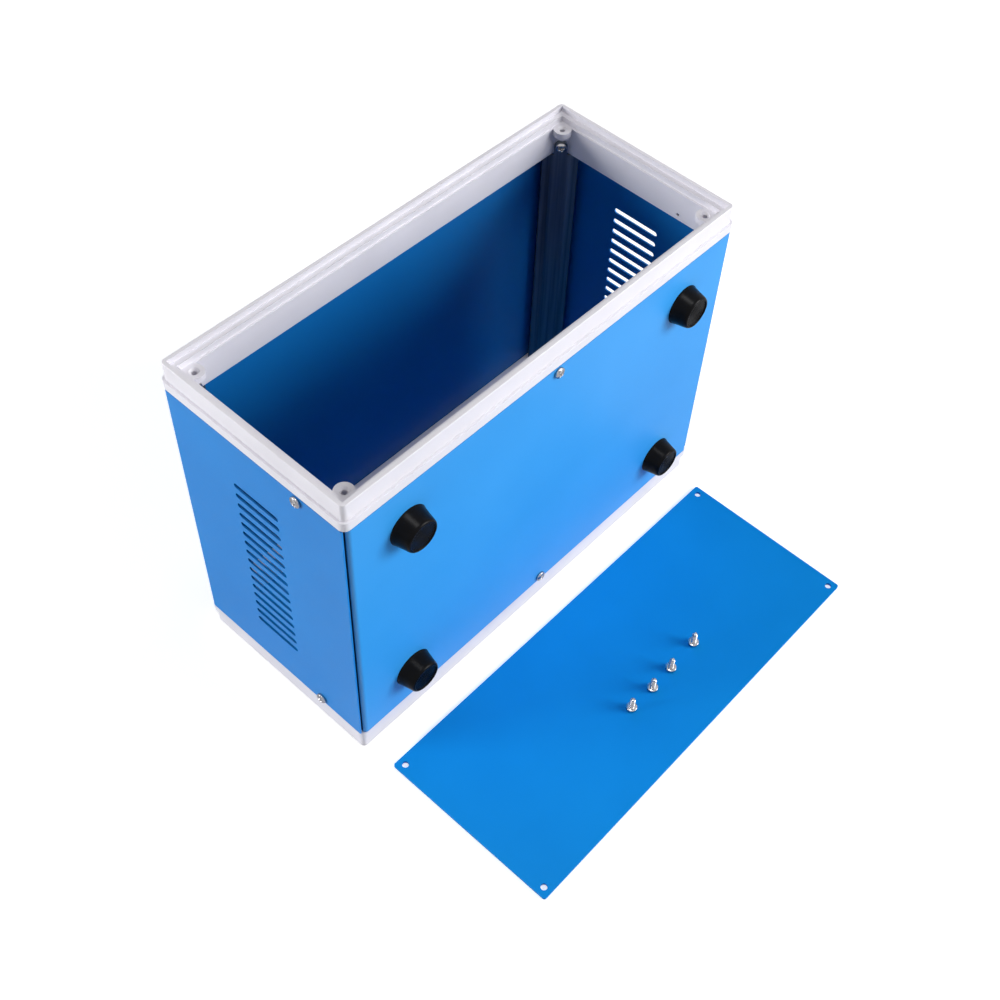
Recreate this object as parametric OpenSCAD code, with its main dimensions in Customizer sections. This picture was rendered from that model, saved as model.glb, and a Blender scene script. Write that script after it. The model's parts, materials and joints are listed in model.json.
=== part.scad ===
// Ventilated project box, standing on its rear frame with the open front upwards.
// Two moulded end frames hold a folded top cover, whose sides are slotted, and a bottom cover with
// four feet. Four bars tie the frames together at the corners. The rear panel is screwed in. The
// front panel is taken off and lies beside the box, with its four screws standing on it.
// X is the width of the case, Y its height in use (the top cover is at +Y), Z its depth.

/* [Case] */
// Width of the case over its frames
case_w = 250; // [190:1:320]
// Height of the case in use over its frames
case_h = 110; // [90:1:160]
// Depth of the case from the rear rim to the front rim
case_d = 190; // [140:1:260]
// Radius of the frames' upright corners
corner_r = 3.5; // [2.5:0.5:5]

/* [Frames] */
// Depth of the visible band, from the rim to the edges of the covers
band_d = 14.6; // [12:0.1:20]
// Depth from the rim to the step round the band
step_d = 9.7; // [6:0.1:11]
// Width of that step
step_w = 1.2; // [0.4:0.1:1.4]
// Width of the rim, with the rounding of its outer edge
rim_w = 2; // [1.6:0.1:3]
// Radius of that rounding
rim_round = 0.4; // [0.2:0.1:0.8]
// Depth of the first wall inside the rim
lip_d = 3; // [2:0.1:4]
// Width of the ledge behind the first wall
ledge_w = 2.7; // [2:0.1:3]
// Depth from the rim to the seat of the panel
seat_d = 6; // [5:0.1:7]
// Draft of the walls inside the frame, over their depth
wall_draft = 0.1; // [0.05:0.05:0.3]
// Width of the step round the panel's seat
seat_step = 1.1; // [0.8:0.1:1.4]
// Length of the skirt that goes inside the covers
skirt_len = 6.6; // [6.4:0.1:12]

/* [Lugs] */
// Distance between the panel's holes along the width, short of the case's width
lug_inset_w = 21; // [19:0.5:24]
// Distance between the panel's holes along the height, short of the case's height
lug_inset_h = 21; // [19:0.5:24]
// Diameter of a lug round its hole
lug_dia = 9; // [7:0.1:10]
// Thickness of a lug
lug_t = 3; // [2:0.1:4]
// Diameter of the boss below a lug
boss_dia = 5.2; // [4.5:0.1:7]
// Length of the boss below a lug
boss_len = 2.2; // [1:0.1:4]
// Moulded pilot hole of a lug that has no screw in it
pilot_dia = 2.5; // [2:0.1:3]
// Diameter of the countersink round a lug's hole
sink_dia = 4.6; // [3.6:0.1:5.4]
// Depth of that countersink
sink_d = 1; // [0.5:0.1:1.5]

/* [Sheet covers] */
// Thickness of the sheet of the covers
sheet_t = 0.8; // [0.6:0.1:1.2]
// Outside radius of the top cover's bends
top_bend_r = 3.9; // [2.5:0.1:6]
// Outside radius of the bottom cover's bends
bottom_bend_r = 2; // [1.8:0.1:3]
// Gap between the top cover's lower edges and the face of the bottom cover
side_edge_gap = 1.6; // [1.2:0.1:3]
// Height of the bottom cover's flanges over all
flange_h = 10; // [6:0.5:14]
// Gap between the top cover's sides and those flanges
flange_gap = 1.1; // [0.3:0.1:1.4]
// Gap between pieces that fit together
fit_gap = 0.3; // [0.2:0.05:0.5]

/* [Ventilation] */
// Overall length of a slot
slot_len = 27.4; // [14:0.2:40]
// Width of a slot
slot_w = 3; // [1.5:0.1:3.6]
// Distance from one slot to the next
slot_pitch = 6.74; // [5:0.01:9]
// Least distance from a frame's band to the nearest slot
slot_margin = 28; // [20:1:40]
// Distance from the middle of the sides to the middle of the slots
slot_shift = 0.5; // [0:0.1:4]

/* [Panels] */
// Thickness of the end panels
panel_t = 1.5; // [1:0.1:2.5]
// Gap between a panel's edge and the wall round it
panel_gap = 0.35; // [0.2:0.05:0.5]
// Corner radius of a panel
panel_r = 1.2; // [0.5:0.1:3]
// Hole in a panel for its screw
panel_hole = 3.3; // [3:0.1:3.8]
// Distance from the feet side of the case to the panel that lies beside it
laid_gap = 15.9; // [12:0.1:60]
// Sideways place of the middle of the laid panel
laid_x = -2.5; // [-20:0.5:20]

/* [Corner bars] */
// Width of a corner bar
bar_w = 18.4; // [14:0.1:20]
// Thickness of a corner bar
bar_t = 1.2; // [0.8:0.1:1.6]
// Width of the creased edge strip along each side of a bar
bar_lip = 4.4; // [2:0.1:5]
// Angle by which the edge strips are bent towards the inside
bar_lip_angle = 14; // [5:1:25]
// Distance from a bar's face to the sharp corner of the case, along its diagonal
bar_depth = 15; // [14.6:0.1:17]
// Width of the tab at each end of a bar
tab_w = 6.6; // [5:0.1:6.8]
// Gap between the full width of a bar and a frame's skirt
bar_end_gap = 0.6; // [0.3:0.1:2]
// Depth from the rim to the screw of a bar
bar_screw_d = 16.7; // [15.5:0.1:18]

/* [Feet] */
// Diameter of a foot where it meets the cover
foot_base = 21; // [19:0.5:26]
// Diameter of a foot at its free end
foot_end = 17; // [16:0.5:18]
// Height of a foot
foot_h = 9; // [7:0.5:11]
// Rounding of a foot's end
foot_round = 1; // [0.5:0.1:1.2]
// Diameter of the recess in a foot's end
foot_recess = 13; // [8:0.5:13]
// Depth of that recess
recess_d = 0.9; // [0.5:0.1:1.4]
// Length of its screw inside a foot
foot_grip = 5; // [3.5:0.5:5]
// Distance between the feet along the width, short of the case's width
foot_inset_w = 67.5; // [50:0.5:90]
// Distance from the rear rim to the rear feet
foot_rear = 37.5; // [30:0.5:60]
// Distance from the front rim to the front feet
foot_front = 40.5; // [30:0.5:60]

/* [Screws] */
// Diameter of a screw's shank
screw_dia = 2.9; // [2.5:0.1:3]
// Diameter of a screw's head
head_dia = 5.6; // [5:0.1:6.5]
// Height of a screw's head
head_h = 2.1; // [1.6:0.1:2.6]
// Play round the shank of a screw that has been driven in
driven_gap = 0.05; // [0.02:0.01:0.1]
// Width of the cross recess over its tips
cross_w = 3.2; // [2.4:0.1:3.6]
// Length of a panel screw under its head
panel_screw_len = 7.2; // [6:0.1:8]
// Length of a cover screw under its head
cover_screw_len = 6; // [5:0.1:8]
// Length of a corner bar's screw under its head
bar_screw_len = 6; // [5:0.1:8]
// Hole in the sheet for a screw
sheet_hole = 3.3; // [3:0.1:3.8]
// Distance from the edge of a cover to its screws
cover_screw_in = 3.7; // [3:0.1:4.4]
// Distance from the bottom of the case to its side screws
side_screw_h = 27.5; // [22:0.5:36]
// Places of the loose screws along the laid panel, from the middle of the case
loose_x = [32.6, 12.7, -2.8, -18.8];
// Distances of the loose screws from the feet side of the case
loose_y = [78.5, 79.5, 80, 79.5];

/* [Hidden] */

// A small overlap that lets one solid or cut run into the next
eps = 0.05;
// Length by which a hole or a cut runs out of the solid that it is made in
clear = 1;
// Reach of a cut that has to pass right through
through = 400;

half_w = case_w / 2;
half_h = case_h / 2;
frame_d = band_d + skirt_len;

// Insets from the outline of the case, in the order in which they step inwards
lip_in = step_w + rim_w;
ledge_in = lip_in + ledge_w;
seat_in = ledge_in + wall_draft;
skirt_in = seat_in + seat_step;
skirt_end_in = skirt_in + wall_draft;
skirt_out = sheet_t + fit_gap;
flange_out = sheet_t + flange_gap;
flange_in = flange_out + sheet_t;
relief_in = flange_in + fit_gap;
relief_h = flange_h + fit_gap;
// Lugs and pads run into the walls by this much
bury = 0.8;
bury_in = skirt_in - bury;

lug_x = half_w - lug_inset_w / 2;
lug_y = half_h - lug_inset_h / 2;
screw_d = band_d + cover_screw_in;
driven_dia = screw_dia + 2 * driven_gap;
// A driven hole is this much deeper than its screw, and a fine pinhole goes on through the wall
blind_gap = 0.5;
pinhole_dia = 1.6;

cover_len = case_d - 2 * (band_d + fit_gap);
side_screw_y = side_screw_h - half_h;
slot_count = floor((case_d - 2 * (band_d + slot_margin)) / slot_pitch) + 1;

panel_w = case_w - 2 * (seat_in + panel_gap);
panel_h = case_h - 2 * (seat_in + panel_gap);
laid_y = -half_h - laid_gap - panel_h / 2;

// Distances along a corner's diagonal from the middle of the case
corner_sum = half_w + half_h - bar_depth * sqrt(2);
pad_sum = corner_sum + bar_t * sqrt(2);
bar_len = case_d - 2 * (frame_d + bar_end_gap);
bar_hole_z = case_d / 2 - bar_screw_d;
bar_mid_x = (corner_sum + half_w - half_h) / 2;
bar_mid_y = (corner_sum - half_w + half_h) / 2;

foot_x = half_w - foot_inset_w / 2;
// Height of the straight edge of a foot at the cover
foot_edge = 0.7;
washer_t = 0.5;
washer_dia = 7;
foot_screw_len = foot_grip + sheet_t + washer_t;

// The row's origin is on the floor below the middle of everything that stands there
set_far_y = laid_y - panel_h / 2;
set_y = -(half_h + set_far_y) / 2;

abs_white = "#ECEBF1";
cover_blue = "#3E96E8";
side_blue = "#488CD6";
panel_blue = "#127DDC";
bar_grey = "#8C98A6";
foot_black = "#1B1C20";
steel = "#B9BCC0";

$fn = 48;

// Points of an arc from angle a0 to angle a1 in n steps
function arc(cx, cy, r, a0, a1, n = 6) =
    [for (i = [0 : n]) let (a = a0 + (a1 - a0) * i / n) [cx + r * cos(a), cy + r * sin(a)]];

// A point list and its mirror image, joined into one outline about the vertical axis
function both_sides(pts) =
    concat(pts, [for (i = [len(pts) - 1 : -1 : 0]) [-pts[i][0], pts[i][1]]]);

// Half of the section of the band above the step, whose face is at the distance reach
function rim_half(reach) = concat(
    [[reach, -step_d - eps]],
    arc(reach - rim_round, -rim_round, rim_round, 0, 90));

// Half of the section of the frame's mouth, as it steps inwards below the rim at z = 0
function mouth_half(half) = [
    [half - lip_in, clear],
    [half - lip_in, -lip_d],
    [half - ledge_in, -lip_d],
    [half - seat_in, -seat_d],
    [half - skirt_in, -seat_d],
    [half - skirt_end_in, -frame_d - clear]];

// A right prism along Y (or along X) from an outline drawn in the upright plane
module across_y(pts, length) {
    rotate([90, 0, 0])
        linear_extrude(length, center = true)
            polygon(pts);
}

module across_x(pts, length) {
    rotate([90, 0, 90])
        linear_extrude(length, center = true)
            polygon(pts);
}

// Both prisms at once give walls whose section is the outline on all four sides
module four_sided(half_x_pts, half_y_pts) {
    intersection() {
        across_y(both_sides(half_x_pts), through);
        across_x(both_sides(half_y_pts), through);
    }
}

module round_rect(w, h, r) {
    square([w - 2 * r, h], center = true);
    square([w, h - 2 * r], center = true);
    for (sx = [-1, 1], sy = [-1, 1])
        translate([sx * (w / 2 - r), sy * (h / 2 - r)])
            circle(r);
}

// Prism of a rounded rectangle that reaches from z0 up to z1, inset by u from the case
module inset_prism(u, r, z0, z1) {
    translate([0, 0, z0])
        linear_extrude(z1 - z0)
            round_rect(case_w - 2 * u, case_h - 2 * u, r);
}

module at_corners(x, y) {
    for (sx = [-1, 1], sy = [-1, 1])
        translate([sx * x, sy * y, 0])
            children();
}

// The four corners of the case as mirror images of the one at +X +Y
module each_corner() {
    for (mx = [0, 1], my = [0, 1])
        mirror([mx, 0, 0])
            mirror([0, my, 0])
                children();
}

// Screw along Z with its head above z = 0 and its point below
module screw(length) {
    crown = head_h * 0.45;
    crown_r = (pow(head_dia / 2, 2) + pow(crown, 2)) / (2 * crown);
    point = screw_dia * 0.8;
    cross_top = head_h - crown * 0.6;
    cross_floor = head_h * 0.3;
    cross_t = cross_w * 0.2;
    difference() {
        rotate_extrude()
            polygon(concat(
                [[0, -length], [screw_dia / 2, -length + point], [screw_dia / 2, 0],
                 [head_dia / 2, 0], [head_dia / 2, head_h - crown]],
                [for (i = [1 : 5])
                    let (r = head_dia / 2 * (1 - i / 5))
                    [r, head_h - crown_r + sqrt(crown_r * crown_r - r * r)]]));
        for (a = [0, 90])
            rotate([0, 0, a])
                rotate([90, 0, 0])
                    linear_extrude(cross_t, center = true)
                        polygon(both_sides([[cross_w / 2, head_h + clear], [cross_w / 2, cross_top],
                                            [cross_t, cross_floor]]));
    }
}

// One end frame with its rim at z = 0 and its skirt downwards
module frame(lug_hole) {
    difference() {
        union() {
            difference() {
                union() {
                    frame_band();
                    frame_skirt();
                }
                four_sided(mouth_half(half_w), mouth_half(half_h));
            }
            each_corner() {
                frame_lug();
                frame_pad();
            }
        }
        at_corners(lug_x, lug_y)
            lug_bore(lug_hole);
        driven_holes();
    }
}

// Plain band, a step round it, and the narrower band above with its rounded rim
module frame_band() {
    inset_prism(0, corner_r, -band_d, -step_d);
    across_y(both_sides(rim_half(half_w - step_w)), case_h - 2 * corner_r);
    across_x(both_sides(rim_half(half_h - step_w)), case_w - 2 * corner_r);
    each_corner()
        translate([half_w - corner_r, half_h - corner_r, 0])
            rim_corner(corner_r - step_w);
}

// A quarter of a turned solid carries the rounded rim round a corner of radius r
module rim_corner(r) {
    intersection() {
        rotate_extrude()
            polygon(concat([[0, 0], [0, -step_d - eps]], rim_half(r)));
        translate([0, 0, -step_d - clear])
            cube([r + clear, r + clear, step_d + 2 * clear]);
    }
}

// The skirt is relieved at its lower corners for the flanges of the bottom cover
module frame_skirt() {
    relief_r = max(0.1, bottom_bend_r - sheet_t - fit_gap);
    difference() {
        inset_prism(skirt_out, top_bend_r - skirt_out, -frame_d, -band_d + eps);
        for (s = [-1, 1])
            translate([s * half_w, -half_h + relief_h / 2, -frame_d - clear])
                linear_extrude(skirt_len + clear)
                    square([2 * relief_in, relief_h], center = true);
    }
    for (s = [-1, 1])
        translate([s * (half_w - relief_in - relief_r), -half_h + skirt_out + relief_r, -frame_d])
            cylinder(h = skirt_len, r = relief_r);
}

// Lug of the corner at +X +Y: a round plate that fills the corner behind it, with a boss below
module frame_lug() {
    translate([lug_x, lug_y, -seat_d - lug_t])
        linear_extrude(lug_t) {
            circle(d = lug_dia);
            square([half_w - bury_in - lug_x, half_h - bury_in - lug_y]);
        }
    translate([lug_x, lug_y, -seat_d - lug_t - boss_len])
        cylinder(h = boss_len + eps, d = boss_dia);
}

// Hole down through a lug and its boss, with a countersink round its mouth
module lug_bore(lug_hole) {
    translate([0, 0, -seat_d - lug_t - boss_len - clear])
        cylinder(h = lug_t + boss_len + 2 * clear, d = lug_hole);
    translate([0, 0, -seat_d - sink_d])
        cylinder(h = sink_d, d1 = lug_hole, d2 = sink_dia);
}

// Sloping pad across the corner at +X +Y, which the corner bar is screwed to
module frame_pad() {
    corner_x = half_w - bury_in;
    corner_y = half_h - bury_in;
    translate([0, 0, -frame_d])
        linear_extrude(frame_d - seat_d - eps)
            polygon([[pad_sum - corner_y, corner_y], [corner_x, corner_y], [corner_x, pad_sum - corner_x]]);
}

// Holes of the screws that hold the covers and the bars
module driven_holes() {
    for (s = [-1, 1])
        translate([s * half_w, side_screw_y, -screw_d])
            rotate([0, -s * 90, 0])
                cover_screw_hole();
    translate([0, -half_h, -screw_d])
        rotate([-90, 0, 0])
            cover_screw_hole();
    each_corner()
        corner_axis(-bar_screw_d)
            translate([0, 0, -bar_screw_len - blind_gap])
                cylinder(h = bar_screw_len + blind_gap + clear, d = driven_dia);
}

// Hole that runs inwards along Z from the outside of the case at z = 0
module cover_screw_hole() {
    cylinder(h = cover_screw_len + blind_gap, d = driven_dia);
    cylinder(h = 2 * skirt_end_in, d = pinhole_dia);
}

// Frame of reference of the corner at +X +Y: z = 0 on the bar's face, +Z towards the inside
module corner_axis(z) {
    translate([bar_mid_x, bar_mid_y, z])
        rotate([0, 0, 45])
            rotate([0, -90, 0])
                children();
}

module front_frame() {
    color(abs_white)
        translate([0, set_y, case_d])
            frame(pilot_dia);
}

module rear_frame() {
    color(abs_white)
        translate([0, set_y, 0])
            mirror([0, 0, 1])
                frame(driven_dia);
}

module cover_outline(u) {
    r = top_bend_r - u;
    low = -half_h + side_edge_gap;
    translate([-half_w + u, low])
        square([case_w - 2 * u, case_h - u - r - side_edge_gap]);
    translate([-half_w + u + r, low])
        square([case_w - 2 * u - 2 * r, case_h - u - side_edge_gap]);
    for (s = [-1, 1])
        translate([s * (half_w - u - r), half_h - u - r])
            circle(r);
}

// Folded sheet that makes the top and both sides of the case
module top_cover() {
    color(side_blue)
        translate([0, set_y, case_d / 2])
            difference() {
                linear_extrude(cover_len, center = true)
                    difference() {
                        cover_outline(0);
                        cover_outline(sheet_t);
                        translate([0, -half_h])
                            square([case_w - 2 * sheet_t, 4 * side_edge_gap], center = true);
                    }
                for (i = [0 : slot_count - 1])
                    translate([0, slot_shift, (i - (slot_count - 1) / 2) * slot_pitch])
                        side_slot();
                for (s = [-1, 1])
                    translate([0, side_screw_y, s * (case_d / 2 - screw_d)])
                        rotate([0, 90, 0])
                            cylinder(h = case_w + 2 * clear, d = sheet_hole, center = true);
            }
}

// One slot, cut through both sides
module side_slot() {
    straight = slot_len - slot_w;
    cube([case_w + 2 * clear, straight, slot_w], center = true);
    for (s = [-1, 1])
        translate([0, s * straight / 2, 0])
            rotate([0, 90, 0])
                cylinder(h = case_w + 2 * clear, d = slot_w, center = true);
}

module tray_outline(u) {
    r = bottom_bend_r - u;
    out = half_w - flange_out - u;
    translate([-out, -half_h + u + r])
        square([2 * out, flange_h - u - r]);
    translate([-out + r, -half_h + u])
        square([2 * (out - r), flange_h - u]);
    for (s = [-1, 1])
        translate([s * (out - r), -half_h + u + r])
            circle(r);
}

// Folded sheet that makes the bottom, with a flange up each side
module bottom_cover() {
    color(cover_blue)
        translate([0, set_y, case_d / 2])
            difference() {
                linear_extrude(cover_len, center = true)
                    difference() {
                        tray_outline(0);
                        tray_outline(sheet_t);
                        translate([0, -half_h + flange_h])
                            square([case_w - 2 * flange_in, 2 * sheet_t], center = true);
                    }
                for (s = [-1, 1])
                    translate([0, -half_h, s * (case_d / 2 - screw_d)])
                        rotate([90, 0, 0])
                            cylinder(h = 4 * sheet_t, d = sheet_hole, center = true);
                for (sx = [-1, 1], z = [foot_rear, case_d - foot_front])
                    translate([sx * foot_x, -half_h, z - case_d / 2])
                        rotate([90, 0, 0])
                            cylinder(h = 4 * sheet_t, d = sheet_hole, center = true);
            }
}

// End panel lying in XY with its inner face at z = 0
module panel() {
    difference() {
        linear_extrude(panel_t)
            round_rect(panel_w, panel_h, panel_r);
        at_corners(lug_x, lug_y)
            translate([0, 0, -clear])
                cylinder(h = panel_t + 2 * clear, d = panel_hole);
    }
}

module front_panel() {
    color(panel_blue)
        translate([laid_x, set_y + laid_y, 0])
            panel();
}

module rear_panel() {
    color(panel_blue)
        translate([0, set_y, seat_d - panel_t])
            panel();
}

// Section of a corner bar: flat in the middle, with its edge strips bent up a little
module bar_section() {
    flat = bar_w / 2 - bar_lip;
    dx = bar_lip * cos(bar_lip_angle);
    dy = bar_lip * sin(bar_lip_angle);
    nx = bar_t * sin(bar_lip_angle);
    ny = bar_t * cos(bar_lip_angle);
    crease = bar_t * tan(bar_lip_angle / 2);
    half = [[flat, 0], [flat + dx, dy], [flat + dx + nx, dy - ny], [flat + crease, -bar_t]];
    polygon(both_sides(half));
}

// Bar across the corner at +X +Y, seen from inside, with a round tab at each end
module corner_bar() {
    color(bar_grey)
        corner_axis(case_d / 2)
            difference() {
                union() {
                    rotate([90, 0, 90])
                        linear_extrude(bar_len, center = true)
                            bar_section();
                    translate([0, 0, -bar_t])
                        linear_extrude(bar_t) {
                            square([2 * bar_hole_z, tab_w], center = true);
                            for (s = [-1, 1])
                                translate([s * bar_hole_z, 0])
                                    circle(d = tab_w);
                        }
                }
                for (s = [-1, 1])
                    translate([s * bar_hole_z, 0, -bar_t - clear])
                        cylinder(h = bar_t + 2 * clear, d = sheet_hole);
            }
}

// The corner at +X +Y is copied to the side given by mx and my
module to_corner(mx, my) {
    translate([0, set_y, 0])
        mirror([mx, 0, 0])
            mirror([0, my, 0])
                children();
}

module corner_bar_top_left() { to_corner(1, 0) corner_bar(); }
module corner_bar_top_right() { to_corner(0, 0) corner_bar(); }
module corner_bar_bottom_left() { to_corner(1, 1) corner_bar(); }
module corner_bar_bottom_right() { to_corner(0, 1) corner_bar(); }

// Screws of the four bars at one end of the case
module bar_screws(z) {
    color(steel)
        for (mx = [0, 1], my = [0, 1])
            to_corner(mx, my)
                corner_axis(z)
                    screw(bar_screw_len);
}

module front_bar_screws() { bar_screws(case_d - bar_screw_d); }
module rear_bar_screws() { bar_screws(bar_screw_d); }

// Foot on the bottom cover, with bulging sides, a shallow recess and a blind hole for its screw
module foot(sx, z) {
    base_r = foot_base / 2;
    end_r = foot_end / 2;
    side_h = foot_h - foot_round - foot_edge;
    hole_h = foot_grip + blind_gap;
    color(foot_black)
        translate([sx * foot_x, set_y - half_h, z])
            rotate([90, 0, 0])
                rotate_extrude()
                    polygon(concat(
                        [[driven_dia / 2, 0], [base_r, 0]],
                        [for (i = [0 : 5])
                            [base_r - (base_r - end_r) * pow(i / 5, 2), foot_edge + side_h * i / 5]],
                        arc(end_r - foot_round, foot_h - foot_round, foot_round, 15, 90, 4),
                        [[foot_recess / 2, foot_h], [foot_recess / 2, foot_h - recess_d],
                         [0, foot_h - recess_d], [0, hole_h], [driven_dia / 2, hole_h]]));
}

module foot_front_left() { foot(-1, case_d - foot_front); }
module foot_front_right() { foot(1, case_d - foot_front); }
module foot_rear_left() { foot(-1, foot_rear); }
module foot_rear_right() { foot(1, foot_rear); }

// Place behind each foot, at the height up from the outside of the bottom cover, +Z inwards
module behind_feet(up) {
    for (sx = [-1, 1], z = [foot_rear, case_d - foot_front])
        translate([sx * foot_x, set_y - half_h + up, z])
            rotate([-90, 0, 0])
                children();
}

module foot_screws() {
    color(steel)
        behind_feet(sheet_t + washer_t)
            screw(foot_screw_len);
}

module foot_washers() {
    color(steel)
        behind_feet(sheet_t)
            difference() {
                cylinder(h = washer_t, d = washer_dia);
                translate([0, 0, -clear])
                    cylinder(h = washer_t + 2 * clear, d = sheet_hole);
            }
}

module side_screws(s) {
    color(steel)
        for (z = [screw_d, case_d - screw_d])
            translate([s * half_w, set_y + side_screw_y, z])
                rotate([0, s * 90, 0])
                    screw(cover_screw_len);
}

module left_side_screws() { side_screws(-1); }
module right_side_screws() { side_screws(1); }

module bottom_screws() {
    color(steel)
        for (z = [screw_d, case_d - screw_d])
            translate([0, set_y - half_h, z])
                rotate([90, 0, 0])
                    screw(cover_screw_len);
}

module rear_panel_screws() {
    color(steel)
        translate([0, set_y, seat_d - panel_t])
            mirror([0, 0, 1])
                at_corners(lug_x, lug_y)
                    screw(panel_screw_len);
}

// A panel screw that stands on its head on the laid panel
module loose_screw(i) {
    color(steel)
        translate([loose_x[i], set_y - half_h - loose_y[i], panel_t + head_h])
            mirror([0, 0, 1])
                screw(panel_screw_len);
}

module loose_screw_1() { loose_screw(0); }
module loose_screw_2() { loose_screw(1); }
module loose_screw_3() { loose_screw(2); }
module loose_screw_4() { loose_screw(3); }

front_frame();
rear_frame();
top_cover();
bottom_cover();
front_panel();
rear_panel();
corner_bar_top_left();
corner_bar_top_right();
corner_bar_bottom_left();
corner_bar_bottom_right();
foot_front_left();
foot_front_right();
foot_rear_left();
foot_rear_right();
foot_screws();
foot_washers();
left_side_screws();
right_side_screws();
bottom_screws();
rear_panel_screws();
front_bar_screws();
rear_bar_screws();
loose_screw_1();
loose_screw_2();
loose_screw_3();
loose_screw_4();
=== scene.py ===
"""Looks of the ventilated project box: finishes, turned feet, threaded screws, studio light and camera."""

import json
from math import cos, pi, radians, sin, sqrt

import bpy
from mathutils import Matrix, Vector


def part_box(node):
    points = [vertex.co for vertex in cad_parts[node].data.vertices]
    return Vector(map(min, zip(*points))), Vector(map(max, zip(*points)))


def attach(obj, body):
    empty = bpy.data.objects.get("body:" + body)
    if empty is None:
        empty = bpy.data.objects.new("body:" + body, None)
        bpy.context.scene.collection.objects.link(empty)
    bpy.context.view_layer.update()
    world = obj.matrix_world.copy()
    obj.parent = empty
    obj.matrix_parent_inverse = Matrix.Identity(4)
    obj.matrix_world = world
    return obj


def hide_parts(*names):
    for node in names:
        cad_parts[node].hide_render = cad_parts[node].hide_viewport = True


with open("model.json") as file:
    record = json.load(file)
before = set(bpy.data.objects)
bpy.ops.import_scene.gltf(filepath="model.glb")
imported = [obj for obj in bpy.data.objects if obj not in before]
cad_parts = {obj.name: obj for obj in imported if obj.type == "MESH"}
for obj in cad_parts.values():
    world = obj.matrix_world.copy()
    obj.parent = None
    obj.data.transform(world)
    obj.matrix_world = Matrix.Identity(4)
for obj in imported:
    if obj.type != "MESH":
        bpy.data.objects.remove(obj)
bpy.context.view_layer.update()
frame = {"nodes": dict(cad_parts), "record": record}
NODES = frame["nodes"]
MM = 0.001
MM_IN_A_METRE = 1000

# Places that the case's own nodes give, in metres
case_low, case_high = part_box("front_frame")
CASE_X = (case_low.x + case_high.x) / 2
CASE_Y = (case_low.y + case_high.y) / 2
CASE_TOP = case_high.z
CASE_MIDDLE = Vector((CASE_X, CASE_Y, CASE_TOP / 2))
CASE_MIDDLE_MM = (CASE_X / MM, CASE_Y / MM, CASE_TOP / 2 / MM)

# Camera: its place from the floor under the middle of the case, the angles that it looks along in
# degrees, its lens and sensor in mm, its shift as a share of the picture's width, and how near and far it
# sees in metres
CAMERA_FROM_CASE = Vector((-326.4, -305.0, 609.4)) * MM
CAMERA_AZIMUTH = -52.925
CAMERA_ELEVATION = 51.202
CAMERA_ROLL = 5.705
CAMERA_LENS = 50.09
CAMERA_SENSOR = 36
CAMERA_SHIFT = (-0.0542, -0.0205)
CAMERA_NEAR = 0.01
CAMERA_FAR = 100

# Strength of the surroundings, where 1 is white: what the camera and reflections see, and what lights the
# object
WHITE = 1.0
WORLD_LIGHT = 0.03

# Floor card: half its width and its height in metres, the glow near the case that the camera alone sees,
# and the distances in metres between which that glow rises to white
FLOOR_HALF = 6
FLOOR_Z = -0.0002
FLOOR_LIFT = 0.52
FADE_START = 0.4
FADE_END = 1.1

# Lamps: name, azimuth and elevation in degrees, distance and size in metres, level on a facing surface
LAMPS = [
    ("right_softbox", 34, 22, 1.7, 0.9, 0.94),
    ("left_softbox", -127, 14, 1.7, 0.6, 0.72),
    ("overhead_softbox", -53, 87, 1.8, 0.5, 0.27),
]

# sRGB's own curve: a straight part up to the knee, and a power above it
SRGB_KNEE = 0.04045
SRGB_SLOPE = 12.92
SRGB_OFFSET = 0.055
SRGB_POWER = 2.4

# Values that a noise pattern mostly stays between
PATTERN_LOW = 0.3
PATTERN_HIGH = 0.7

# Blue paint's painted shade: share of the colour kept on inward faces, share kept in the lap's painted
# shadow, and where the lap begins, in mm
INSIDE_SHADE = 0.8
LAP_SHADOW = 0.06
LAP_X = 122.2
LAP_Y = 3.4

# Foot in mm: radius and distance from the cover, from the flared base over the rim to its inner edge
FOOT_PROFILE = [
    (10.4, 0), (10.36, 0.2), (10.22, 0.5), (10.04, 1), (9.84, 1.8), (9.58, 2.9), (9.27, 4.3),
    (8.97, 5.8), (8.7, 7.2), (8.54, 7.8), (8.4, 8.2), (8.2, 8.54), (7.94, 8.8), (7.66, 8.95),
    (7.38, 9), (7.2, 8.96), (7.08, 8.85), (7.02, 8.65), (7, 8.4),
]
FOOT_AROUND = 96

# Recessed end of a foot in mm: its distance from the cover, the spacing of its pads and how far they rise
GRIP_DEPTH = 8.4
GRIP_PITCH = 0.7
GRIP_RISE = 0.16
GRIP_RINGS = 84

# Shank lengths in mm
PANEL_SCREW = 7.2
COVER_SCREW = 6.0
FOOT_SCREW = 6.3

# Pan head in mm, its radius from the loose screws' own node: the crown's rise as a share of the height,
# and the edge of the crown as a share of the radius
loose_low, loose_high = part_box("loose_screw_1")
SCREW_AROUND = 48
HEAD_R = (loose_high.x - loose_low.x) / 2 / MM
HEAD_H = 2.1
CROWN_RISE = 0.45
CROWN_EDGE = 0.97
HEAD_RINGS = 26

# Thread in mm: the pitch, a flank as a share of it, the run-out below the head, the step between rings,
# and the blunt tip's length with its end's share of the radius
CREST_R = 1.45
CORE_R = 1.08
PITCH = 1.0
FLANK = 0.32
RUN_OUT = 0.4
THREAD_STEP = 0.09
TIP_LENGTH = CREST_R * 0.8
TIP_SHARE = 0.55

# Rim and underside of the head in mm: radius and height, from the edge of the crown to the shank
HEAD_RIM = [(HEAD_R, HEAD_H * 0.45), (HEAD_R, 0.12), (HEAD_R * 0.97, 0), (CREST_R * 1.1, 0)]

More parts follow.
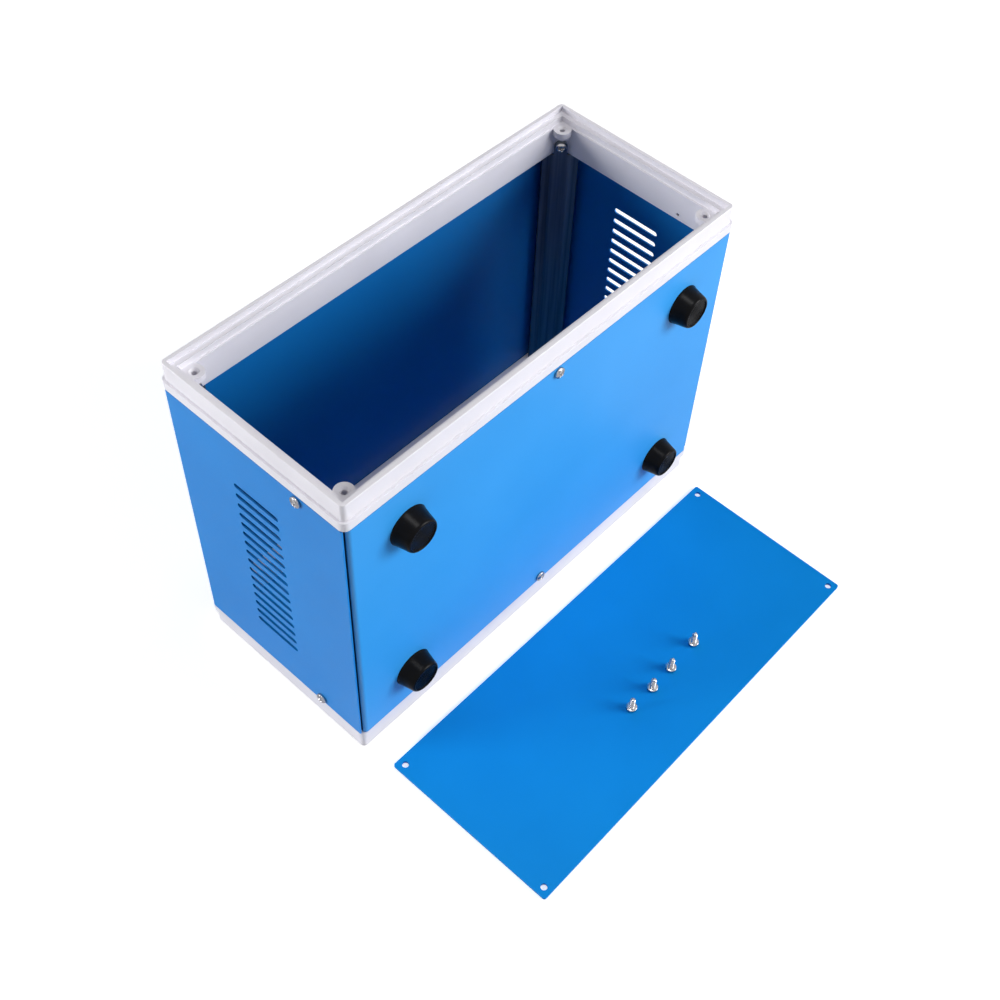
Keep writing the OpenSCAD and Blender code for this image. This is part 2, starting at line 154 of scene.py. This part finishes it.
# Cross recess in mm: half an arm's length and width, its depth, the run of its sloping sides and ends, the
# pit in the middle with the run of its wall, and how far out the head is cut at all
CROSS_HALF = 1.6
CROSS_WIDE = 0.42
CROSS_DEEP = 1.35
CROSS_SIDE = 0.14
CROSS_END = 0.6
CROSS_PIT = 1.0
CROSS_PIT_WALL = 0.4
CROSS_REACH = HEAD_R * 0.8

# How far the first screw of a node is turned in degrees, how much further each next one is, and how much
# further each loose screw is than the one before it
AXIS_TURN = 17
AXIS_TURN_STEP = 31
CORNER_TURN = 23
CORNER_TURN_STEP = 29
LOOSE_TURN = 40

# Points closer than this, in metres, become one, and the decimals to which places in metres are compared
# and put in order
SAME_POINT = 0.000001
SAME_PLACE_DECIMALS = 7
ORDER_DECIMALS = 5


def put_in_scene(name, data):
    """A new object that shows this mesh, lamp or camera."""
    obj = bpy.data.objects.new(name, data)
    bpy.context.scene.collection.objects.link(obj)
    return obj


def direction(azimuth, elevation):
    """The way from the case at these angles in degrees. Azimuth 0 looks out over the feet."""
    az = radians(azimuth)
    el = radians(elevation)
    return Vector((sin(az) * cos(el), -cos(az) * cos(el), sin(el)))


def camera():
    """The photograph's camera."""
    az = radians(CAMERA_AZIMUTH)
    roll = radians(CAMERA_ROLL)
    back = direction(CAMERA_AZIMUTH, CAMERA_ELEVATION)
    level = Vector((cos(az), sin(az), 0))
    up = back.cross(level)
    right = level * cos(roll) + up * sin(roll)
    top = up * cos(roll) - level * sin(roll)
    data = bpy.data.cameras.new("camera")
    data.lens = CAMERA_LENS
    data.sensor_width = CAMERA_SENSOR
    data.shift_x, data.shift_y = CAMERA_SHIFT
    data.clip_start = CAMERA_NEAR
    data.clip_end = CAMERA_FAR
    place = Matrix((right, top, back)).transposed().to_4x4()
    place.translation = CAMERA_FROM_CASE + Vector((CASE_X, CASE_Y, 0))
    obj = put_in_scene("camera", data)
    obj.matrix_world = place
    bpy.context.scene.camera = obj


def to_linear(channel):
    """One sRGB channel as linear light."""
    if channel <= SRGB_KNEE:
        return channel / SRGB_SLOPE
    return ((channel + SRGB_OFFSET) / (1 + SRGB_OFFSET)) ** SRGB_POWER


def linear(hexcode):
    """An sRGB hex colour as linear red, green, blue and alpha."""
    return [to_linear(int(hexcode[i : i + 2], 16) / 255) for i in (1, 3, 5)] + [1]


def add(tree, kind, values=None, links=None, **settings):
    """Adds one node, sets its properties and input values, and links sockets into it."""
    made = tree.nodes.new(kind)
    for key, value in settings.items():
        setattr(made, key, value)
    for key, value in (values or {}).items():
        made.inputs[key].default_value = value
    for key, socket in (links or {}).items():
        tree.links.new(socket, made.inputs[key])
    return made


def cleared_tree(owner):
    """The emptied node tree of a material or of the world."""
    owner.use_nodes = True
    owner.node_tree.nodes.clear()
    return owner.node_tree


def new_material(name, **sockets):
    """A material whose shader has these values, with its tree, shader and object coordinates in mm."""
    mat = bpy.data.materials.new(name)
    tree = cleared_tree(mat)
    shader = add(tree, "ShaderNodeBsdfPrincipled")
    for key, value in sockets.items():
        shader.inputs[key.replace("_", " ")].default_value = value
    add(tree, "ShaderNodeOutputMaterial", links={"Surface": shader.outputs[0]})
    coords = add(tree, "ShaderNodeTexCoord")
    in_mm = add(tree, "ShaderNodeVectorMath", {1: [MM_IN_A_METRE] * 3}, {0: coords.outputs["Object"]},
                operation="MULTIPLY")
    return mat, tree, shader, in_mm.outputs[0]


def blotches(tree, mm, size_mm, detail, stretch=(1, 1, 1)):
    """A pattern between 0 and 1 whose blotches are about size_mm across, stretched along an axis."""
    scale = tuple(1 / (size_mm * s) for s in stretch)
    scaled = add(tree, "ShaderNodeMapping", {"Scale": scale}, {"Vector": mm})
    made = add(tree, "ShaderNodeTexNoise", {"Scale": 1.0, "Detail": detail}, {"Vector": scaled.outputs[0]})
    return made.outputs["Fac"]


def two_tones(tree, pattern, darker, lighter):
    """A colour that drifts from the darker to the lighter tone with the pattern."""
    drift = add(tree, "ShaderNodeMapRange", {"From Min": PATTERN_LOW, "From Max": PATTERN_HIGH},
                {"Value": pattern})
    made = add(tree, "ShaderNodeMix", {"A": linear(darker), "B": linear(lighter)},
               {"Factor": drift.outputs[0]}, data_type="RGBA")
    return made.outputs["Result"]


def surface_grain(tree, shader, pattern, smoothest, roughest, depth_mm, strength):
    """The pattern as grain: roughness between two values, and a relief of a real depth."""
    sheen = add(tree, "ShaderNodeMapRange", {"To Min": smoothest, "To Max": roughest}, {"Value": pattern})
    tree.links.new(sheen.outputs[0], shader.inputs["Roughness"])
    relief = add(tree, "ShaderNodeBump", {"Strength": strength, "Distance": depth_mm * MM},
                 {"Height": pattern})
    tree.links.new(relief.outputs[0], shader.inputs["Normal"])


def painted_inside_shade(tree, mm, colour):
    """Painted shade: the colour made darker on the faces that look into the case."""
    inward = add(tree, "ShaderNodeVectorMath", {0: CASE_MIDDLE_MM}, {1: mm}, operation="SUBTRACT")
    normal = add(tree, "ShaderNodeTexCoord").outputs["Normal"]
    facing = add(tree, "ShaderNodeVectorMath", links={0: inward.outputs[0], 1: normal},
                 operation="DOT_PRODUCT")
    inside = add(tree, "ShaderNodeMath", {1: 0}, {0: facing.outputs["Value"]}, operation="GREATER_THAN")
    shaded_colour = add(tree, "ShaderNodeHueSaturation", {"Value": INSIDE_SHADE},
               {"Fac": inside.outputs[0], "Color": colour})
    return shaded_colour.outputs[0]


def painted_lap_shadow(tree, mm, colour):
    """Painted shadow: the colour made nearly black where two covers lap, so that the seam shows as a dark
    line.
    """
    spread = add(tree, "ShaderNodeVectorMath", links={0: mm}, operation="ABSOLUTE")
    axes = add(tree, "ShaderNodeSeparateXYZ", links={0: spread.outputs[0]}).outputs
    outward = add(tree, "ShaderNodeMath", {1: LAP_X}, {0: axes["X"]}, operation="GREATER_THAN")
    upward = add(tree, "ShaderNodeMath", {1: LAP_Y}, {0: axes["Y"]}, operation="GREATER_THAN")
    lap = add(tree, "ShaderNodeMath", links={0: outward.outputs[0], 1: upward.outputs[0]},
              operation="MULTIPLY")
    shaded_colour = add(tree, "ShaderNodeHueSaturation", {"Value": LAP_SHADOW},
               {"Fac": lap.outputs[0], "Color": colour})
    return shaded_colour.outputs[0]


# Baked polyester powder paint on steel sheet: satin, with a faint cloud in the colour and an orange peel
# that breaks up highlights, drawn a little coarser than it is so that it shows. Painted shade darkens the
# inward faces of a folded cover, and a painted shadow makes a lapped cover nearly black where the other
# cover meets it
def blue_powder_paint(name, sheen, darker, lighter, shaded_inside=False, shadowed_lap=False):
    mat, tree, shader, mm = new_material(name, Roughness=0.42, IOR=1.5, Specular_IOR_Level=sheen)
    cloud = blotches(tree, mm, size_mm=60, detail=2)
    colour = two_tones(tree, cloud, darker, lighter)
    # Painted shade on the faces that look into the case
    if shaded_inside:
        colour = painted_inside_shade(tree, mm, colour)
    # Painted shadow in the lap, where the side sheet covers the flange
    if shadowed_lap:
        colour = painted_lap_shadow(tree, mm, colour)
    tree.links.new(colour, shader.inputs["Base Color"])
    peel = blotches(tree, mm, size_mm=0.45, detail=3)
    surface_grain(tree, shader, peel, smoothest=0.38, roughest=0.48, depth_mm=0.03, strength=0.5)
    return mat


# White ABS, injection moulded in a finely spark-eroded tool: soft sheen, a trace of flow marks, and light
# that goes a little way in. The tool's texture is drawn coarser than it is so that it shows
def white_moulded_abs(name):
    mat, tree, shader, mm = new_material(
        name, Roughness=0.46, IOR=1.54, Subsurface_Weight=0.08, Subsurface_Scale=0.0015,
        Subsurface_Radius=(1.0, 0.9, 0.85))
    flow = blotches(tree, mm, size_mm=35, detail=2)
    tree.links.new(two_tones(tree, flow, "#E9E7EE", "#F0EEF5"), shader.inputs["Base Color"])
    texture = blotches(tree, mm, size_mm=0.35, detail=2)
    surface_grain(tree, shader, texture, smoothest=0.42, roughest=0.52, depth_mm=0.015, strength=0.4)
    return mat


# Black rubber, moulded: nearly black, with a narrow dull highlight on its rim and a fine grain, drawn
# coarser than it is so that it shows
def black_moulded_rubber(name):
    mat, tree, shader, mm = new_material(name, Roughness=0.3, IOR=1.52, Specular_IOR_Level=0.08)
    bloom = blotches(tree, mm, size_mm=5, detail=3)
    tree.links.new(two_tones(tree, bloom, "#040406", "#08080A"), shader.inputs["Base Color"])
    grain = blotches(tree, mm, size_mm=0.4, detail=3)
    surface_grain(tree, shader, grain, smoothest=0.24, roughest=0.36, depth_mm=0.03, strength=0.5)
    return mat


# Steel strip, cold rolled and bare: dark grey, with long streaks along the strip from the rolls, drawn
# wider than they are so that they show
def rolled_steel_strip(name):
    mat, tree, shader, mm = new_material(name, Metallic=1.0, Roughness=0.34)
    streaks = blotches(tree, mm, size_mm=2.2, detail=3, stretch=(1, 1, 60))
    tree.links.new(two_tones(tree, streaks, "#5C6269", "#868C93"), shader.inputs["Base Color"])
    surface_grain(tree, shader, streaks, smoothest=0.34, roughest=0.5, depth_mm=0.01, strength=0.3)
    return mat


# Nickel-plated steel, cold formed: bright, with faint patches in the plating, drawn coarser than they are
# so that they show
def nickel_plate(name):
    mat, tree, shader, mm = new_material(name, Metallic=1.0, Roughness=0.14)
    patches = blotches(tree, mm, size_mm=0.8, detail=3)
    tree.links.new(two_tones(tree, patches, "#98979A", "#C2C0C1"), shader.inputs["Base Color"])
    surface_grain(tree, shader, patches, smoothest=0.1, roughest=0.2, depth_mm=0.01, strength=0.2)
    return mat


def dress_nodes(materials):
    """Gives each node the material of its slot in the record."""
    for row in frame["record"]["subparts"]:
        obj = NODES[row["node"]]
        obj.data.materials.clear()
        obj.data.materials.append(materials[row["material_slot"]])


def make_piece(name, points, faces, material):
    """A smooth piece of the visual model, which rides on the case."""
    mesh = bpy.data.meshes.new(name)
    mesh.from_pydata(points, [], faces)
    mesh.validate()
    mesh.update()
    for polygon in mesh.polygons:
        polygon.use_smooth = True
    obj = put_in_scene(name, mesh)
    obj.data.materials.append(material)
    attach(obj, "root")
    return obj


def circle(around):
    """Cosine and sine at equal steps round a circle."""
    return [(cos(2 * pi * j / around), sin(2 * pi * j / around)) for j in range(around)]


def skin(rings, around, turned_over):
    """Faces from each ring of points to the next, turned over where the rings run the other way round."""
    faces = []
    for k in range(len(rings) - 1):
        here = k * around
        there = here + around
        for j in range(around):
            n = (j + 1) % around
            if turned_over:
                faces.append((here + j, here + n, there + n, there + j))
            else:
                faces.append((here + j, there + j, there + n, here + n))
    return faces


def foot_rings():
    """Rings of a foot in mm, each point as x, distance from the cover, and z."""
    rings = [[(r * c, h, r * s) for c, s in circle(FOOT_AROUND)] for r, h in FOOT_PROFILE]
    inner = FOOT_PROFILE[-1][0]
    for i in range(1, GRIP_RINGS):
        r = inner * (1 - i / GRIP_RINGS)
        ring = []
        for c, s in circle(FOOT_AROUND):
            x = r * c
            z = r * s
            pad = max(0, sin(2 * pi * x / GRIP_PITCH) * sin(2 * pi * z / GRIP_PITCH))
            ring.append((x, GRIP_DEPTH + GRIP_RISE * pad, z))
        rings.append(ring)
    return rings


def feet(material):
    """The four rubber feet: turned flanks and rim, and a recessed end with a fine grid of pads."""
    rings = foot_rings()
    last = (len(rings) - 1) * FOOT_AROUND
    faces = skin(rings, FOOT_AROUND, turned_over=True)
    faces.append(tuple(reversed(range(FOOT_AROUND))))
    faces.append(tuple(last + j for j in range(FOOT_AROUND)))
    for end in ("front", "rear"):
        for side in ("left", "right"):
            low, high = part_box(f"foot_{end}_{side}")
            middle = (low + high) / 2
            points = [(middle.x + x * MM, high.y - h * MM, middle.z + z * MM)
                      for ring in rings for x, h, z in ring]
            foot = make_piece(f"turned_foot_{end}_{side}", points, faces, material)
            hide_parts(f"foot_{end}_{side}")


def share(part, whole):
    """How much of the whole the part is, between 0 and 1."""
    return min(1, max(0, part / whole))


def cross_depth(x, y):
    """Depth of the cross recess at a point of the head, in mm."""
    deepest = 0.0
    for along, across in ((abs(x), abs(y)), (abs(y), abs(x))):
        side = share(CROSS_WIDE + CROSS_SIDE - across, CROSS_SIDE)
        end = share(CROSS_HALF - along, CROSS_END)
        deepest = max(deepest, side * end)
    centre = share(CROSS_PIT - sqrt(x * x + y * y), CROSS_PIT_WALL)
    return CROSS_DEEP * max(deepest, centre)


def head_height(r):
    """Height of the pan head's top at a radius, above the underside of the head."""
    crown = HEAD_H * CROWN_RISE
    sphere = (HEAD_R**2 + crown**2) / (2 * crown)
    return HEAD_H - sphere + sqrt(max(0, sphere**2 - r * r))


def thread_radius(z, turn, length):
    """Radius of the shank below the head: a coarse V thread that narrows at the blunt tip."""
    phase = (z / PITCH - turn) % 1
    rise = max(0, 1 - abs(phase - 0.5) / FLANK)
    to_tip = (z + length) / TIP_LENGTH
    taper = min(1, TIP_SHARE + (1 - TIP_SHARE) * sqrt(max(0, to_tip)))
    return (CORE_R + (CREST_R - CORE_R) * rise * share(-z, RUN_OUT)) * taper


def screw_mesh(length):
    """Points and faces of one screw in mm: head above z = 0, shank below."""
    rings = []
    for i in range(HEAD_RINGS + 1):
        r = HEAD_R * CROWN_EDGE * i / HEAD_RINGS
        ring = []
        for c, s in circle(SCREW_AROUND):
            x = r * c
            y = r * s
            recess = cross_depth(x, y) if r < CROSS_REACH else 0
            ring.append((x, y, head_height(r) - recess))
        rings.append(ring)
    for r, z in HEAD_RIM:
        rings.append([(r * c, r * s, z) for c, s in circle(SCREW_AROUND)])
    rows = int(length / THREAD_STEP)
    for i in range(rows + 1):
        z = -length * i / rows
        ring = []
        for j, (c, s) in enumerate(circle(SCREW_AROUND)):
            r = thread_radius(z, j / SCREW_AROUND, length)
            ring.append((r * c, r * s, z))
        rings.append(ring)
    points = [p for ring in rings for p in ring]
    last = (len(rings) - 1) * SCREW_AROUND
    faces = skin(rings, SCREW_AROUND, turned_over=False)
    faces.append(tuple(last + j for j in reversed(range(SCREW_AROUND))))
    return points, faces


def screws(node, length, places, material):
    """All screws of a node as one piece. A place is a point in metres, the head's facing, and a turn."""
    points, faces = screw_mesh(length)
    all_points = []
    all_faces = []
    for at, facing, turn in places:
        spin = facing.to_track_quat("Z", "Y").to_matrix() @ Matrix.Rotation(radians(turn), 3, "Z")
        start = len(all_points)
        all_points += [at + spin @ (Vector(p) * MM) for p in points]
        all_faces += [tuple(start + i for i in f) for f in faces]
    piece = make_piece(f"threaded_{node}", all_points, all_faces, material)
    weld = piece.modifiers.new("weld", "WELD")
    weld.merge_threshold = SAME_POINT
    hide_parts(node)


def solids_of(node):
    """Low and high corners of each separate solid of a node, in metres."""
    mesh = NODES[node].data
    parent = list(range(len(mesh.vertices)))

    def root(i):
        while parent[i] != i:
            parent[i] = parent[parent[i]]
            i = parent[i]
        return i

    same = {}
    for v in mesh.vertices:
        key = tuple(round(c, SAME_PLACE_DECIMALS) for c in v.co)
        parent[root(v.index)] = root(same.setdefault(key, v.index))
    for e in mesh.edges:
        parent[root(e.vertices[0])] = root(e.vertices[1])
    boxes = {}
    for v in mesh.vertices:
        low, high = boxes.setdefault(root(v.index), (Vector(v.co), Vector(v.co)))
        for k in range(3):
            low[k] = min(low[k], v.co[k])
            high[k] = max(high[k], v.co[k])
    return sorted(boxes.values(), key=lambda b: tuple(round(c, ORDER_DECIMALS) for c in b[0]))


def axis_screws(node, length, facing, material, first_turn=AXIS_TURN):
    """Screws of a node whose heads all face along one axis of the row."""
    facing = Vector(facing)
    k = max(range(3), key=lambda i: abs(facing[i]))
    places = []
    for i, (low, high) in enumerate(solids_of(node)):
        at = (low + high) / 2
        tip = (low if facing[k] > 0 else high)[k]
        at[k] = tip + facing[k] * length * MM
        places.append((at, facing, first_turn + AXIS_TURN_STEP * i))
    screws(node, length, places, material)


def corner_screws(node, length, material):
    """Screws of the corner bars, whose heads face the middle of the case along its diagonals."""
    places = []
    for i, (low, high) in enumerate(solids_of(node)):
        middle = (low + high) / 2
        facing = Vector((-1 if middle.x > CASE_X else 1, -1 if middle.y > CASE_Y else 1, 0)).normalized()
        tip = Vector((high.x if facing.x < 0 else low.x, high.y if facing.y < 0 else low.y, middle.z))
        places.append((tip + facing * length * MM, facing, CORNER_TURN + CORNER_TURN_STEP * i))
    screws(node, length, places, material)


def surroundings():
    """White where the camera or a reflection looks, and a faint light on the object."""
    world = bpy.data.worlds.new("surroundings")
    tree = cleared_tree(world)
    path = add(tree, "ShaderNodeLightPath").outputs
    clear = add(tree, "ShaderNodeMath", links={0: path["Is Glossy Ray"], 1: path["Is Transmission Ray"]},
                operation="MAXIMUM")
    seen = add(tree, "ShaderNodeMath", links={0: path["Is Camera Ray"], 1: clear.outputs[0]},
               operation="MAXIMUM")
    strength = add(tree, "ShaderNodeMapRange", {"To Min": WORLD_LIGHT, "To Max": WHITE},
                   {"Value": seen.outputs[0]})
    sky = add(tree, "ShaderNodeBackground", {"Color": linear("#FFFFFF")}, {"Strength": strength.outputs[0]})
    add(tree, "ShaderNodeOutputWorld", links={"Surface": sky.outputs[0]})
    bpy.context.scene.world = world


def white_floor_card(name):
    """White card that keeps the case's shadow. To the camera alone it glows, up to plain white far out."""
    mat = bpy.data.materials.new(name)
    tree = cleared_tree(mat)
    path = add(tree, "ShaderNodeLightPath")
    coords = add(tree, "ShaderNodeTexCoord")
    away = add(tree, "ShaderNodeVectorMath", links={0: coords.outputs["Object"]}, operation="LENGTH")
    fade = add(tree, "ShaderNodeMapRange",
               {"From Min": FADE_START, "From Max": FADE_END, "To Min": FLOOR_LIFT, "To Max": WHITE},
               {"Value": away.outputs["Value"]})
    lift = add(tree, "ShaderNodeMath", links={0: path.outputs["Is Camera Ray"], 1: fade.outputs[0]},
               operation="MULTIPLY")
    card = add(tree, "ShaderNodeBsdfDiffuse", {"Color": linear("#F4F4F6")})
    glow = add(tree, "ShaderNodeEmission", {"Color": linear("#FFFFFF")}, {"Strength": lift.outputs[0]})
    both = add(tree, "ShaderNodeAddShader", links={0: card.outputs[0], 1: glow.outputs[0]})
    add(tree, "ShaderNodeOutputMaterial", links={"Surface": both.outputs[0]})
    return mat


def plain_floor():
    """The floor that the case stands on."""
    mesh = bpy.data.meshes.new("floor")
    corners = ((-1, -1), (1, -1), (1, 1), (-1, 1))
    mesh.from_pydata([(x * FLOOR_HALF, y * FLOOR_HALF, FLOOR_Z) for x, y in corners], [], [(0, 1, 2, 3)])
    floor = put_in_scene("floor", mesh)
    floor.data.materials.append(white_floor_card("white_floor_card"))


def lamps():
    """Square soft lamps that look at the middle of the case, stronger the farther away they stand."""
    for name, azimuth, elevation, distance, size, level in LAMPS:
        way = direction(azimuth, elevation)
        data = bpy.data.lights.new(name, "AREA")
        data.shape = "SQUARE"
        data.size = size
        data.energy = level * pi * pi * distance * distance
        lamp = put_in_scene(name, data)
        lamp.location = CASE_MIDDLE + way * distance
        lamp.rotation_mode = "QUATERNION"
        lamp.rotation_quaternion = (-way).to_track_quat("-Z", "Y")


camera()
surroundings()
plain_floor()
lamps()
bpy.context.scene.view_settings.view_transform = "Standard"

MATERIALS = {
    "frame_plastic": white_moulded_abs("white_moulded_abs"),
    "side_paint": blue_powder_paint(
        "blue_powder_paint_sides", sheen=0.33, darker="#0E82D6", lighter="#1288DC", shaded_inside=True),
    # The bottom cover has the sides' paint drawn lighter: painted light for the stronger light on its face
    "cover_paint": blue_powder_paint(
        "blue_powder_paint_bottom", sheen=0.3, darker="#329DEC", lighter="#3AA3F2", shaded_inside=True, shadowed_lap=True),
    "panel_blue": blue_powder_paint(
        "blue_powder_paint_panels", sheen=0.08, darker="#0888D9", lighter="#0C8EE0"),
    "bar_steel": rolled_steel_strip("rolled_steel_strip"),
    "foot_rubber": black_moulded_rubber("black_moulded_rubber"),
    "screw_steel": nickel_plate("nickel_plate"),
}
dress_nodes(MATERIALS)
NICKEL = MATERIALS["screw_steel"]

feet(MATERIALS["foot_rubber"])
for n in (1, 2, 3, 4):
    axis_screws(f"loose_screw_{n}", PANEL_SCREW, (0, 0, -1), NICKEL, first_turn=LOOSE_TURN * n)
axis_screws("rear_panel_screws", PANEL_SCREW, (0, 0, -1), NICKEL)
axis_screws("left_side_screws", COVER_SCREW, (-1, 0, 0), NICKEL)
axis_screws("right_side_screws", COVER_SCREW, (1, 0, 0), NICKEL)
axis_screws("bottom_screws", COVER_SCREW, (0, -1, 0), NICKEL)
axis_screws("foot_screws", FOOT_SCREW, (0, 1, 0), NICKEL)
corner_screws("front_bar_screws", COVER_SCREW, NICKEL)
corner_screws("rear_bar_screws", COVER_SCREW, NICKEL)
